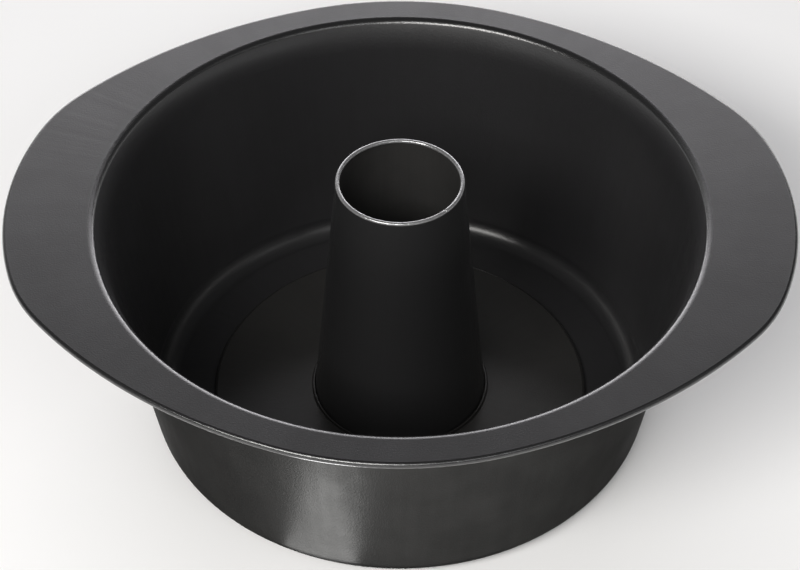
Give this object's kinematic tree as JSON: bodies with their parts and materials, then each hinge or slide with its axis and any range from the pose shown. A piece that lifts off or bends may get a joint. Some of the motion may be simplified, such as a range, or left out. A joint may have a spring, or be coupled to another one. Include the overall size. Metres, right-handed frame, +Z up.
{
  "type": "tube cake pan",
  "caption": "Deep round cake pan with a sloping wall, a wide flat rim that widens into handles, and a lift-out base plate that carries a tapered centre tube.",
  "frame": {"origin": "centre of the pan's underside, on the surface it stands on", "axes": "+X towards one handle along the longest extent, +Z up along the centre tube's axis, +Y square to both"},
  "size_m": [0.3112, 0.269, 0.1165],
  "materials": {
    "pan_coating": "satin non-stick coating with a fine sparkle",
    "plate_coating": "satin non-stick coating",
    "tube_coating": "satin non-stick coating"
  },
  "bodies": {
    "pan": {"pan_body": "pan_coating"},
    "insert": {"base_plate": "plate_coating", "centre_tube": "tube_coating"}
  },
  "joints": [
    {"name": "insert_lift", "type": "slide", "parent": "pan", "child": "insert", "axis": [0, 0, 1], "range_m": [0, 0.13]}
  ]
}
